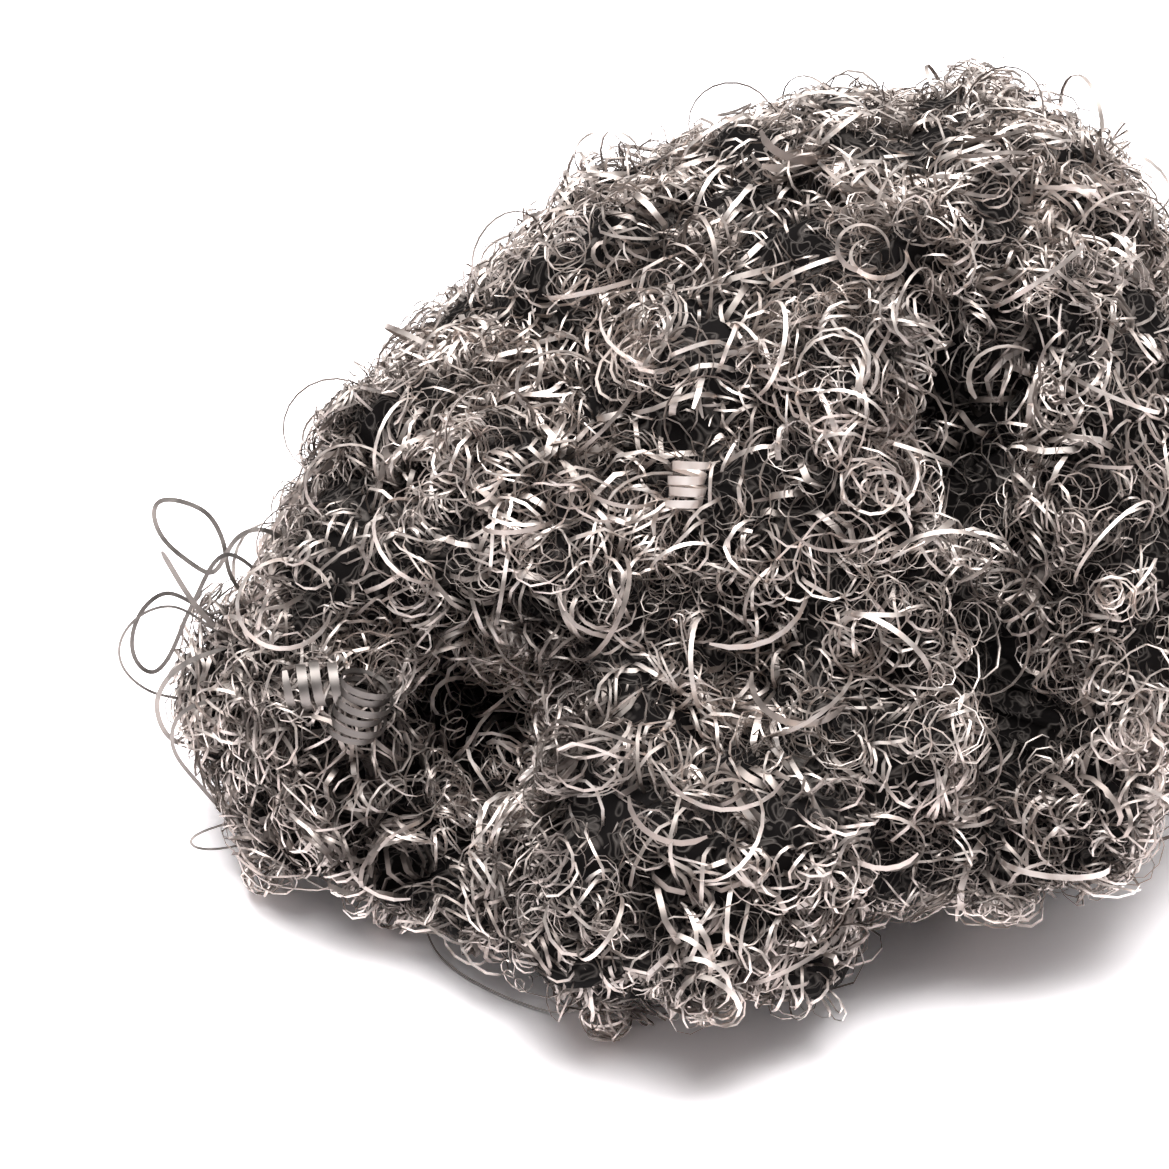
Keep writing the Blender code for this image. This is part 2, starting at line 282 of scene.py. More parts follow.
def start_places(count, cuts, rng):
    """Places spread over the skin, fewer of them underneath and in the gaps."""
    chosen = rng.choice(len(areas), count * 4, p=areas / areas.sum())
    u, v = rng.random((2, count * 4, 1))
    u, v = np.where(u + v > 1, 1 - u, u), np.where(u + v > 1, 1 - v, v)
    a, b, c = (sides[chosen, k] for k in range(3))
    p = settle(a + u * (b - a) + v * (c - a), 0.5, cuts)
    likely = np.where(way_out(p, cuts)[:, 2] < FACES_DOWN, SHARE_UNDERNEATH, 1.0)
    likely *= np.clip(0.85 + 0.6 * lumps(p, *GAPS), SHARE_IN_GAPS, 1.0)
    return p[rng.random(len(p)) < likely][:count]


# %% The walk of a curl
WALK_STEPS = 3
LOWEST = 0.5
LEAST_LEAN, MOST_LEAN = 0.1, 1.57
END_DIVE = 2.4
LEAN_SINK = 0.55
PULL, MOST_PULLED = 0.7, 2.5
STRAY_TURN, STRAY_LEAN, STRAY_SWING = 0.3, 0.12, 0.16
SWELL = 0.22
CROOKED_BY, CROOKED_OVER = 0.13, 6.0


def eased(nodes, count):
    """Smooth values between nodes along the second axis."""
    t = np.linspace(0.0, nodes.shape[1] - 1.0, count)
    i = np.minimum(t.astype(int), nodes.shape[1] - 2)
    f = (t - i)[None, :, None]
    first, last = 2 * nodes[:, :1] - nodes[:, 1:2], 2 * nodes[:, -1:] - nodes[:, -2:-1]
    padded = np.concatenate([first, nodes, last], axis=1)
    a, b, c, d = (padded[:, i + k] for k in range(4))
    return 0.5 * (
        2 * b + (c - a) * f + (2 * a - 5 * b + 4 * c - d) * f**2 + (3 * b - a - 3 * c + d) * f**3
    )


def crooked(p, rng, reach, wide):
    """Pushes points about by smooth waves, so no curl stays a true circle."""
    shift = np.zeros_like(p)
    for scale in (1.0, 1.7):
        way = unit(rng.normal(size=(3, 3)))
        start = rng.uniform(0.0, math.tau, 3)
        shift += np.sin(p @ way * math.tau * scale / wide + start) / scale
    return p + shift * reach


def carried(axis, first):
    """A direction square to each axis, carried along a row with the least turning."""
    row = []
    for k in range(axis.shape[1]):
        first = unit(first - axis[:, k] * (first * axis[:, k]).sum(-1, keepdims=True))
        row.append(first)
    return np.stack(row, axis=1)


def curls(count, turns, per_turn, radius, pitch, depth, cuts, rng):
    """Points along wandering coils, one row for each ribbon, and the way out of each coil."""
    p = start_places(count, cuts, rng)
    count = len(p)
    r = rng.uniform(*radius, (count, 1))
    low, high = pitch
    stride = r * (low + (high - low) * rng.random((count, 1)) ** 2) / WALK_STEPS
    t = unit(np.cross(way_out(p, cuts), rng.normal(size=(count, 3))))
    lean = rng.uniform(LEAST_LEAN, MOST_LEAN, (count, 1))
    swing = rng.uniform(0.0, math.tau, (count, 1))
    deep = rng.uniform(*depth, (count, 1))
    steps = turns * WALK_STEPS + 1

    # The coil's centre walks over the skin while its axis leans this way and that.
    walk, axes = [], []
    for k in range(steps):
        n = way_out(p, cuts)
        along = 2.0 * k / (steps - 1) - 1.0
        dive = deep + LEAN_SINK * r * np.sin(lean) + END_DIVE * along**6
        off = skin_distance(p, cuts) - tuft_height(p)
        p = p - n * np.clip(off[:, None] + dive, -MOST_PULLED, MOST_PULLED) * PULL
        b = np.cross(n, t)
        walk.append(p)
        axes.append(np.cos(lean) * n + np.sin(lean) * (np.cos(swing) * t + np.sin(swing) * b))
        p = p + t * stride
        turn = rng.normal(0.0, STRAY_TURN, (count, 1))
        t = unit(t * np.cos(turn) + b * np.sin(turn) - n * (t * n).sum(1, keepdims=True))
        lean = np.clip(lean + rng.normal(0.0, STRAY_LEAN, (count, 1)), 0.0, MOST_LEAN)
        swing = swing + rng.normal(0.0, STRAY_SWING, (count, 1))

    # The ribbon turns round that axis, swelling a little, and is then pushed out of true.
    total = turns * per_turn + 1
    centre = eased(np.stack(walk, axis=1), total)
    axis = unit(eased(np.stack(axes, axis=1), total))
    first = carried(axis, unit(np.cross(axis[:, 0], rng.normal(size=(count, 3)))))
    second = np.cross(axis, first)
    hand = rng.choice((-1.0, 1.0), (count, 1))
    spin = np.linspace(0.0, turns * math.tau, total)[None]
    angle = (spin * hand + swing)[..., None]
    swell = 1.0 + SWELL * np.sin(spin * rng.uniform(0.2, 0.5, (count, 1)) + 7 * swing)
    outward = np.cos(angle) * first + np.sin(angle) * second
    points = centre + (r * swell)[:, :, None] * outward
    points = crooked(points, rng, CROOKED_BY * r.mean(), CROOKED_OVER * r.mean())
    points[..., 2] = np.maximum(points[..., 2], LOWEST)
    return points, outward


# %% Painted shade in the hollow, at the near end and low in front
DARK_AT = 4.8
SHADED_HOLLOW = ((-11.5, 18.0, 25.0), (14.5, 26.0, 19.0), -15.0, -25.0)
MOST_HOLLOW_SHADE, SLIGHT_PAINTED_SHADE = 0.65, 0.25


def ramp_down(value, start, length):
    """1 where a value is below start - length, 0 above start, and even between them."""
    return np.clip((start - value) / length, 0.0, 1.0)


# Painted shade on top of the shade for depth: the steel is darkened in the hollow, at the near end
# and low in front.
def extra_painted_shade(p):
    """Painted shade on the steel: in the hollow, and a little at the near end and low in front."""
    hollow = np.clip(0.36 - lobe_distance(p, *SHADED_HOLLOW) / 7.0, 0.0, MOST_HOLLOW_SHADE)
    near_end = SLIGHT_PAINTED_SHADE * ramp_down(p[..., 0], -14.0, 10.0)
    low = SLIGHT_PAINTED_SHADE * ramp_down(p[..., 2], 34.0, 16.0)
    front = ramp_down(p[..., 1], 24.0, 12.0)
    return np.maximum(hollow, np.maximum(near_end, low * front))


# The middle of the hollow gets this much painted shade.
print("steel in the hollow is dulled by", round(float(extra_painted_shade(np.array(HOLLOW[0]))), 2))


# %% Draw ribbons as curves and turn them into a piece
SECTION = ((-0.5, -0.12), (0.5, -0.12), (0.0, 0.2))
SHARP_RAD = 1.08
TIP_TAPER = 0.5
BESIDE_STRIP, BEYOND_STRIP = 0.05, 0.1


def ribbon_section():
    """A flat three-cornered section, one unit wide."""
    curve = bpy.data.curves.new("ribbon_section", "CURVE")
    curve.dimensions = "2D"
    line = curve.splines.new("POLY")
    line.points.add(len(SECTION) - 1)
    for point, co in zip(line.points, SECTION):
        point.co = (*co, 0.0, 1.0)
    line.use_cyclic_u = True
    piece = bpy.data.objects.new("ribbon_section", curve)
    bpy.context.scene.collection.objects.link(piece)
    return piece


def flat_side_out(points, outward):
    """How far each point's section must be turned for its flat side to face outward."""
    ahead = unit(np.gradient(points, axis=0))
    up = unit(np.array((0.0, 0.0, 1.0)) - ahead * ahead[:, 2:3])
    side = np.cross(ahead, up)
    return np.arctan2((outward * side).sum(1), (outward * up).sum(1)) + math.pi


def bake_strips(mesh, lengths):
    """Lays each ribbon on a strip of its own, and tells which ribbon each face belongs to."""
    count = len(lengths)
    rows = math.ceil(math.sqrt(count * 6))
    columns = math.ceil(count / rows)
    along = np.zeros(len(mesh.loops) * 2)
    mesh.uv_layers[0].data.foreach_get("uv", along)
    along = along.reshape(-1, 2)
    along[: count * 6] = np.tile([(0.0, 0.0), (0.02, 0.0), (0.0, 1.0)], (count * 2, 1))
    ribbon = np.arange(count)
    of_face = np.concatenate([ribbon.repeat(2), ribbon.repeat([3 * (n - 1) for n in lengths])])
    owner = np.concatenate([ribbon.repeat(6), ribbon.repeat([12 * (n - 1) for n in lengths])])
    across = BESIDE_STRIP + (1.0 - 2.0 * BESIDE_STRIP) * along[:, 0]
    up = BEYOND_STRIP + (1.0 - 2.0 * BEYOND_STRIP) * along[:, 1]
    left, low = (owner // rows + across) / columns, (owner % rows + up) / rows
    mesh.uv_layers[0].name = "OFBake"
    mesh.uv_layers[0].data.foreach_set("uv", np.stack([left, low], 1).ravel())
    return of_face


def make_ribbons(name, ribbons, rng, loose=0.35):
    """A piece from (points, outward, width) of each ribbon, turned loosely about its length."""
    section = ribbon_section()
    curve = bpy.data.curves.new(name, "CURVE")
    curve.dimensions = "3D"
    curve.bevel_mode = "OBJECT"
    curve.bevel_object = section
    curve.use_fill_caps = True
    curve.twist_mode = "Z_UP"
    for points, outward, width in ribbons:
        n = len(points)
        line = curve.splines.new("POLY")
        line.points.add(n - 1)
        line.points.foreach_set("co", np.column_stack([metres(points), np.ones(n)]).ravel())
        taper = 1.0 - TIP_TAPER * np.abs(np.linspace(-1, 1, n)) ** 12
        line.points.foreach_set("radius", width * MM * taper)
        line.points.foreach_set("tilt", flat_side_out(points, outward) + rng.normal(0.0, loose))
        line.use_smooth = True
    drawn = bpy.data.objects.new(name, curve)
    bpy.context.scene.collection.objects.link(drawn)
    graph = bpy.context.evaluated_depsgraph_get()
    mesh = bpy.data.meshes.new_from_object(drawn.evaluated_get(graph), depsgraph=graph)
    bpy.data.objects.remove(drawn)
    bpy.data.objects.remove(section)

    # Each face learns which ribbon it belongs to, and how much painted shade it gets: more the
    # deeper in the wool it lies, more in the hollow, at the near end and low in front, and full on
    # the caps.
    lengths = [len(points) for points, _, _ in ribbons]
    owner = bake_strips(mesh, lengths)
    tone = mesh.attributes.new("ribbon_tone", "FLOAT", "FACE")
    tone.data.foreach_set("value", rng.random(len(lengths))[owner])
    middles = np.concatenate([(points[1:] + points[:-1]) / 2 for points, _, _ in ribbons])
    deep = (tuft_height(middles) - skin_distance(middles)) / DARK_AT + extra_painted_shade(middles)
    deep = np.concatenate([np.ones(2 * len(lengths)), np.clip(deep, 0.0, 1.0).repeat(3)])
    shade = mesh.attributes.new("painted_shade_amount", "FLOAT", "FACE")
    shade.data.foreach_set("value", deep)

    # The caps are joined to the tube, and only true edges are left sharp.
    bm = bmesh.new()
    bm.from_mesh(mesh)
    bmesh.ops.remove_doubles(bm, verts=bm.verts, dist=1e-8)
    bmesh.ops.recalc_face_normals(bm, faces=bm.faces)
    for edge in bm.edges:
        edge.smooth = edge.calc_face_angle(0.0) < SHARP_RAD
    bm.to_mesh(mesh)
    bm.free()
    piece = bpy.data.objects.new(name, mesh)
    bpy.context.scene.collection.objects.link(piece)
    print(name, "has", len(lengths), "ribbons,", sum(6 * n - 4 for n in lengths), "triangles")
    return piece


# %% Fill the roll
FIRST_SEED = 5
DEEP, LOOSE = RIBBON_CUTS, BRIDGED_CUTS
SIZES = {
    # name: ribbons, turns, points per turn, radius, pitch, depth, hollow, width
    "wool_inner": (480, 4, 8, (1.8, 3.2), (0.5, 2.4), (2.0, 3.2), DEEP, (0.50, 0.80)),
    "wool_fine_1": (800, 4, 9, (0.9, 2.0), (0.4, 2.4), (0.2, 2.2), DEEP, (0.16, 0.27)),
    "wool_fine_2": (780, 4, 9, (1.1, 2.3), (0.4, 2.2), (0.0, 1.6), LOOSE, (0.16, 0.27)),
    "wool_middle_1": (700, 4, 10, (1.3, 2.5), (0.3, 1.9), (0.5, 2.2), LOOSE, (0.25, 0.38)),
    "wool_middle_2": (700, 4, 10, (1.5, 2.9), (0.3, 1.9), (0.1, 1.8), LOOSE, (0.24, 0.37)),
    "wool_wide": (390, 4, 12, (1.8, 3.4), (0.3, 1.8), (0.4, 2.4), LOOSE, (0.34, 0.55)),
    "wool_frizz": (230, 4, 8, (0.7, 1.6), (0.3, 2.0), (-0.6, 0.8), LOOSE, (0.14, 0.20)),
}
pieces = []
for seed, (name, (*shape, width)) in enumerate(SIZES.items(), FIRST_SEED):
    rng = np.random.default_rng(seed)
    points, outward = curls(*shape, rng)
    widths = rng.uniform(*width, len(points))
    pieces.append(make_ribbons(name, list(zip(points, outward, widths)), rng))

# %% [markdown]
# ## What stands out
#
# Loops that sprang free of the near end, springs of flat ribbon that never opened, and a few
# broad shavings that lie on top. No formula would put them where they are, so each one has its
# own place, size and lean, and the broadest curls stand where the solid has them. The stray
# loops and the two springs beside the hollow are a piece of their own, as their steel is painted
# darker, a shaded copy of the ribbon steel.

# %% The broadest curls
BROAD_COUNT = 165
BROAD_RADIUS = (3.4, 5.8)
BROAD_LEAN_DEG = (20.0, 45.0)
BROAD_SWEEP_DEG = 262.0
BROAD_SINK = 0.34
BROAD_WIDTH = (0.38, 0.62)
BROAD_LOWEST = 13.0
BROAD_SEED = 11
SPRING_ROOM = 7.0
SPRINGS = (
    # middle, way along, radius, ribbon width, pitch, turns
    ((-27.9, 25.2, 30.2), (1.0, 0.05, 0.02), 2.3, 1.0, 1.6, 3.4),
    ((-22.9, 23.8, 28.7), (0.30, 0.15, 0.94), 2.7, 0.8, 1.2, 5.6),
    ((10.4, 33.6, 49.4), (0.15, 0.5, 0.85), 1.8, 0.9, 1.3, 3.6),
)


def broad_curls():
    """The curls that the solid has, as ribbons: they lean out of the skin all round."""
    rng = random.Random(BROAD_SEED)
    z = 1.0 - 2.0 * (np.arange(BROAD_COUNT) + 0.5) / BROAD_COUNT
    turn = math.pi * (3.0 - math.sqrt(5.0)) * np.arange(BROAD_COUNT)
    flat = np.sqrt(1.0 - z * z)
    rays = np.column_stack([flat * np.cos(turn), flat * np.sin(turn), z])
    p = settle(HEART + rays * reach_skin(rays, RIBBON_CUTS)[:, None], 0.0)
    angle = np.radians(np.linspace(-0.5, 0.5, 17) * BROAD_SWEEP_DEG)[:, None]
    for place, n in zip(p, way_out(p)):
        radius = rng.uniform(*BROAD_RADIUS)
        lean = math.radians(rng.uniform(*BROAD_LEAN_DEG))
        heading = math.radians(rng.uniform(0.0, 360.0))
        near_spring = min(np.linalg.norm(place - spring[0]) for spring in SPRINGS)
        if place[2] < BROAD_LOWEST or near_spring < SPRING_ROOM:
            continue
        side = Matrix.Rotation(heading, 3, n) @ Vector(n).orthogonal().normalized()
        up = np.array(Matrix.Rotation(lean, 3, side) @ Vector(n))
        out = np.cos(angle) * up - np.sin(angle) * np.array(side)
        yield place - up * BROAD_SINK * radius + out * radius, out, rng.uniform(*BROAD_WIDTH)


# %% Stray loops
STRAYS = (
    # ribbon width, places that it passes through
    (0.52, (
        (-37.0, 46.0, 26.0), (-39.1, 46.0, 29.2), (-38.8, 46.4, 32.9), (-40.2, 46.8, 36.3),
        (-41.6, 47.0, 37.6), (-45.5, 47.0, 39.0), (-46.6, 46.6, 37.1), (-45.8, 46.0, 33.9),
        (-43.4, 45.4, 31.9), (-41.4, 45.0, 30.3), (-40.1, 44.8, 30.2), (-38.8, 44.8, 32.6),
        (-37.6, 45.0, 34.9), (-35.6, 45.4, 35.8), (-33.4, 46.0, 35.0), (-30.6, 46.0, 32.0),
    )),
    (0.48, (
        (-34.0, 42.0, 31.0), (-37.6, 42.4, 35.4), (-40.0, 42.4, 33.4), (-41.9, 42.2, 28.9),
        (-43.4, 42.0, 26.3), (-44.8, 41.6, 22.5), (-46.6, 41.2, 19.6), (-48.1, 41.0, 19.5),
        (-49.4, 41.0, 21.7), (-49.3, 41.4, 24.6), (-48.0, 42.0, 27.6), (-45.9, 42.4, 29.3),
        (-44.0, 42.4, 29.5), (-40.0, 42.0, 26.1),
    )),
    (0.30, (
        (-38.0, 38.0, 26.0), (-42.2, 38.0, 30.3), (-44.2, 38.0, 31.0), (-46.8, 38.0, 30.3),
        (-49.1, 37.6, 28.2), (-50.2, 37.4, 25.5), (-49.8, 37.2, 22.7), (-47.9, 37.0, 20.6),
        (-46.2, 37.0, 19.6), (-44.5, 37.4, 19.0), (-42.8, 38.0, 17.7), (-39.5, 38.0, 16.0),
    )),
    (0.56, (
        (-38.5, 37.0, 26.0), (-43.4, 36.0, 24.9), (-45.8, 35.6, 21.4), (-46.4, 35.4, 19.2),
        (-45.9, 35.2, 16.2), (-44.8, 35.2, 14.6), (-42.3, 35.4, 13.2), (-39.0, 36.0, 13.4),
    )),
    (0.44, (
        (-38.3, 32.6, 22.6), (-42.5, 31.6, 22.5), (-44.2, 31.4, 19.5), (-44.3, 31.4, 16.7),
        (-43.5, 31.6, 14.2), (-41.6, 32.0, 10.7), (-39.0, 32.0, 6.1), (-35.9, 32.4, 5.6),
        (-31.0, 33.0, 8.0),
    )),
    (0.26, (
        (-32.0, 31.0, 9.0), (-41.0, 30.0, 6.7), (-43.9, 30.0, 4.8), (-41.3, 30.0, 2.6),
        (-31.0, 32.0, 5.0),
    )),
    (0.24, (
        (-18.0, 25.0, 2.0), (-17.1, 19.7, 0.8), (-15.4, 15.9, 0.5), (-12.1, 12.8, 0.5),
        (-8.2, 10.1, 0.5), (-4.6, 8.4, 0.5), (-0.7, 6.8, 1.0), (4.5, 9.4, 5.0),
    )),
    (0.6, ((-44.8, 40.4, 36.3), (-43.4, 40.2, 33.0), (-41.8, 40.0, 29.3), (-38.4, 40.0, 24.2))),
)
POINTS_BETWEEN = 6
STRAY_SMOOTHING = 20
TO_CAMERA = np.array((0.0, -math.cos(down), math.sin(down)))
strays = []
for width, nodes in STRAYS:
    nodes = np.array(nodes)
    points = eased(nodes[None], (len(nodes) - 1) * POINTS_BETWEEN + 1)[0]
    for _ in range(STRAY_SMOOTHING):
        points[1:-1] = (points[:-2] + 2.0 * points[1:-1] + points[2:]) / 4.0
    strays.append((points, np.tile(TO_CAMERA, (len(points), 1)), width))
print(len(strays), "stray loops")

# %% Small frizzy tufts along the lower edge
LOOP_POINTS = 20
LOOP_WIDTH = (0.18, 0.34)
TUFT_SEED = 4
FRIZZY_TUFTS = (
    # middle, radius, loops
    ((-20.2, 21.4, 3.4), 2.9, 26),
    ((2.2, 5.4, 3.0), 2.6, 30),
    ((1.2, 8.8, 3.8), 2.9, 20),
    ((-35.0, 26.6, 3.0), 2.2, 12),
)


def frizzy_tuft(middle, radius, loops, rng):
    """Small loops lying every way over a ball."""
    for _ in range(loops):
        pole = unit(rng.normal(size=3))
        side = unit(np.cross(pole, rng.normal(size=3)))
        angle = np.linspace(0.0, rng.uniform(4.0, 9.0), LOOP_POINTS)[:, None]
        size = radius * rng.uniform(0.45, 1.0)
        out = np.cos(angle) * side + np.sin(angle) * np.cross(pole, side)
        rise = math.sqrt(radius**2 - size**2) * rng.choice((-1.0, 1.0))
        drift = np.linspace(-0.25, 0.25, LOOP_POINTS)[:, None] * radius
        points = np.array(middle) + out * size + pole * (rise + drift)
        points[:, 2] = np.maximum(points[:, 2], LOWEST)
        yield points, out, rng.uniform(*LOOP_WIDTH)


special = []
rng = np.random.default_rng(TUFT_SEED)
for values in FRIZZY_TUFTS:
    special += frizzy_tuft(*values, rng)
print(len(special), "small loops in", len(FRIZZY_TUFTS), "frizzy tufts")

# %% Springs and broad shavings
SPRING_POINTS_PER_TURN = 22
SLIPS_BY, SLIPS_OVER = 0.14, 0.37
SWELLS_BY, SWELLS_OVER = 0.10, 0.53
DEGREES_PER_POINT, FEWEST_POINTS = 14, 6
STRAY_SEED, SPECIAL_SEED = 2, 3


def spring(middle, along, radius, width, pitch, turns):
    """A flat ribbon wound tightly along an axis."""
    along = unit(np.array(along))
    side = unit(np.cross(along, (0.3, 1.0, 0.2)))
    total = round(turns * SPRING_POINTS_PER_TURN) + 1
    angle = np.linspace(0.0, turns * math.tau, total)[:, None]
    out = np.cos(angle) * side + np.sin(angle) * np.cross(along, side)
    travel = np.linspace(-0.5, 0.5, total)[:, None] * pitch * turns
    travel = travel + SLIPS_BY * np.sin(angle * SLIPS_OVER)
    loose = radius * (1.0 + SWELLS_BY * np.sin(angle * SWELLS_OVER + radius))
    return np.array(middle) + along * travel + out * loose, out, width


def shaving(middle, radius, start_deg, sweep_deg, lean_deg, width):
    """An arc that faces the camera, leaning back by some degrees."""
    total = max(round(sweep_deg / DEGREES_PER_POINT), FEWEST_POINTS)
    angle = np.radians(np.linspace(start_deg, start_deg + sweep_deg, total))[:, None]
    right, up = np.array((1.0, 0.0, 0.0)), np.array((0.0, math.sin(down), math.cos(down)))
    away = np.cross(up, right)
    up = up * math.cos(math.radians(lean_deg)) + away * math.sin(math.radians(lean_deg))
    out = np.cos(angle) * right + np.sin(angle) * up
    return np.array(middle) + out * radius, unit(out + TO_CAMERA), width


strays += [spring(*values) for values in SPRINGS[:2]]
rng = np.random.default_rng(STRAY_SEED)
wool_strays = make_ribbons("wool_strays", strays, rng, loose=0.0)
special.append(spring(*SPRINGS[2]))
special += [
    # middle, radius, start, sweep, lean, ribbon width
    shaving((-31.0, 31.5, 36.0), 4.9, 20, 330, 20, 0.55),
    shaving((-31.5, 23.0, 24.0), 5.5, 60, 75, 30, 0.6),
    shaving((-19.0, 18.0, 15.0), 6.0, 200, 80, 20, 0.5),
    shaving((8.0, 30.5, 47.5), 6.0, 10, 150, 40, 0.8),
    shaving((12.0, 30.0, 46.5), 5.0, 30, 160, 35, 0.85),
    shaving((15.0, 27.0, 42.0), 7.5, 250, 110, 30, 0.6),
    shaving((21.7, 19.5, 35.4), 5.0, 170, 160, 30, 0.7),
    shaving((28.4, 49.5, 67.8), 2.6, 0, 300, 20, 0.6),
    shaving((30.0, 49.0, 67.0), 2.8, 120, 260, 35, 0.6),
    shaving((24.0, 73.0, 70.0), 5.0, 190, 110, 30, 1.0),
    shaving((21.0, 74.0, 69.0), 5.5, 250, 80, 30, 1.0),
    shaving((32.1, 38.0, 62.8), 4.0, 20, 170, 35, 0.7),
    shaving((-2.6, 46.0, 53.4), 4.4, 40, 180, 30, 0.6),
    shaving((9.3, 6.2, 31.5), 5.0, 180, 120, 30, 0.7),
    shaving((13.8, 11.0, 33.0), 6.5, 200, 130, 35, 0.55),
    shaving((29.3, 8.0, 26.0), 4.5, 150, 170, 30, 0.6),
    shaving((42.7, 37.0, 59.6), 4.2, 60, 150, 30, 0.7),
    shaving((-24.9, 44.0, 42.6), 4.6, 30, 200, 25, 0.5),
]
special += list(broad_curls())
rng = np.random.default_rng(SPECIAL_SEED)
pieces.append(make_ribbons("wool_special", special, rng, loose=0.1))

# %% [markdown]
# ## Steel, bright outside and dark inside
#
# Bare steel is nearly colourless, so its look comes from what it mirrors. Each ribbon has its
# own tone and every part that lies deep is darker, since light bounces away many times in there.
# Enough bounces of light would darken it by themselves, but only in a full depth of ribbons, so
# the depth is kept with each face and darkens the steel from there as painted shade. The hollow,
# the near end and the low front get more painted shade on top of it. Fine noise makes a ribbon
# smooth in one place and rough and dented in the next, as a knife leaves it.

# %% Ribbon steel
# Each steel: dullest ribbon, brightest ribbon, and the dark colour of the painted shade.
STEEL = ((0.34, 0.29, 0.265), (0.90, 0.81, 0.76), (0.13, 0.110, 0.100))
# The stray steel is a darker, shaded copy of the ribbon steel: painted shade on the stray loops and
# two springs.
SHADED_STRAY_STEEL = ((0.12, 0.108, 0.102), (0.42, 0.38, 0.355), (0.13, 0.110, 0.100))
PATCHES_PER_METRE = 900.0
SMOOTHEST, ROUGHEST = 0.40, 0.68


def node(tree, kind, values=(), **settings):
    """A node with its settings, and a link or a value for each input."""
    made = tree.nodes.new("ShaderNode" + kind)
    for key, value in settings.items():
        setattr(made, key, value)
    for key, value in values:
        if hasattr(value, "is_output"):
            tree.links.new(value, made.inputs[key])
        else:
            made.inputs[key].default_value = value
    return made


def new_material(name):
    """A material with its node tree and its main shader."""
    mat = bpy.data.materials.new(name)
    mat.use_nodes = True
    return mat, mat.node_tree, mat.node_tree.nodes["Principled BSDF"]


def steel(name, dark, bright, deep):
    """Bare steel ribbon: a tone for each ribbon, mottled, and darkened by painted shade deep in the
    wool.
    """
    mat, tree, shader = new_material(name)
    place = node(tree, "TexCoord").outputs["Object"]
    tone = node(tree, "Attribute", attribute_name="ribbon_tone").outputs["Fac"]
    depth = node(tree, "Attribute", attribute_name="painted_shade_amount").outputs["Fac"]
    fine = (("Vector", place), ("Scale", PATCHES_PER_METRE), ("Detail", 0.0))
    patches = node(tree, "TexNoise", fine)
    colours = (("Color1", (*dark, 1)), ("Color2", (*bright, 1)))
    own = node(tree, "MixRGB", (("Fac", tone), *colours)).outputs["Color"]
    mix = (("Fac", 0.35), ("Color1", own), ("Color2", patches.outputs["Fac"]))
    mottled = node(tree, "MixRGB", mix, blend_type="OVERLAY").outputs["Color"]
    # Painted shade: each face is mixed toward the dark colour by its painted shade amount.
    mix = (("Fac", depth), ("Color1", mottled), ("Color2", (*deep, 1)))
    inside = node(tree, "MixRGB", mix).outputs["Color"]
    sheen = (("Value", patches.outputs["Fac"]), ("To Min", SMOOTHEST), ("To Max", ROUGHEST))
    sheen = node(tree, "MapRange", sheen).outputs["Result"]
    shader.inputs["Metallic"].default_value = 1.0
    tree.links.new(inside, shader.inputs["Base Color"])
    tree.links.new(sheen, shader.inputs["Roughness"])
    uneven = (("Strength", 0.3), ("Distance", 0.0001), ("Height", patches.outputs["Fac"]))
    tree.links.new(node(tree, "Bump", uneven).outputs["Normal"], shader.inputs["Normal"])
    return mat


ribbon_steel = steel("ribbon_steel", *STEEL)
shaded_stray_steel = steel("shaded_stray_steel", *SHADED_STRAY_STEEL)
print("two steels, with a roughness from", SMOOTHEST, "to", ROUGHEST)

# %% [markdown]
# The heart is seen through the gaps. Its surface is nearly black and carries faint drawn curls:
# thin rings round scattered points, bent by noise, in layers of several sizes. They read as
# more wool, further in, and cost no triangles.

# %% Heart
HEART_DARK, HEART_LIT = (0.006, 0.005, 0.005, 1), (0.10, 0.088, 0.082, 1)
BENDS_PER_METRE, BENT_BY = 240.0, (0.006, 0.006, 0.006)
RINGS = (
    # scale, ring radius, half width, brightness, shift
    (330.0, 0.42, 0.060, 1.0, 0.0),
    (420.0, 0.34, 0.070, 0.6, 3.7),
    (260.0, 0.46, 0.050, 0.7, 5.3),
)
deep_wool, tree, shader = new_material("deep_wool")
place = node(tree, "TexCoord").outputs["Object"]
bend = node(tree, "TexNoise", (("Vector", place), ("Scale", BENDS_PER_METRE), ("Detail", 1.0)))
bent = ((0, bend.outputs["Color"]), (1, BENT_BY), (2, place))
bent = node(tree, "VectorMath", bent, operation="MULTIPLY_ADD")
height = None
for scale, radius, half_width, bright, shift in RINGS:
    aside = ((0, bent.outputs[0]), (1, (shift, shift, shift)))
    moved = node(tree, "VectorMath", aside, operation="ADD")
    cells = node(tree, "TexVoronoi", (("Vector", moved.outputs[0]), ("Scale", scale)))
    off = node(tree, "Math", ((0, cells.outputs["Distance"]), (1, radius)), operation="SUBTRACT")
    off = node(tree, "Math", ((0, off.outputs[0]),), operation="ABSOLUTE")
    band = (("From Max", half_width), ("To Min", bright), ("To Max", 0.0))
    ring = node(tree, "MapRange", (("Value", off.outputs[0]), *band)).outputs["Result"]
    if height is None:
        height = ring
    else:
        height = node(tree, "Math", ((0, height), (1, ring)), operation="MAXIMUM").outputs[0]
colour = node(tree, "MixRGB", (("Fac", height), ("Color1", HEART_DARK), ("Color2", HEART_LIT)))
shader.inputs["Roughness"].default_value = 0.8
shader.inputs["Specular IOR Level"].default_value = 0.05
tree.links.new(colour.outputs["Color"], shader.inputs["Base Color"])
raised = node(tree, "Bump", (("Strength", 0.6), ("Distance", 0.0004), ("Height", height)))
tree.links.new(raised.outputs["Normal"], shader.inputs["Normal"])
print("the heart has", len(RINGS), "layers of drawn curls")

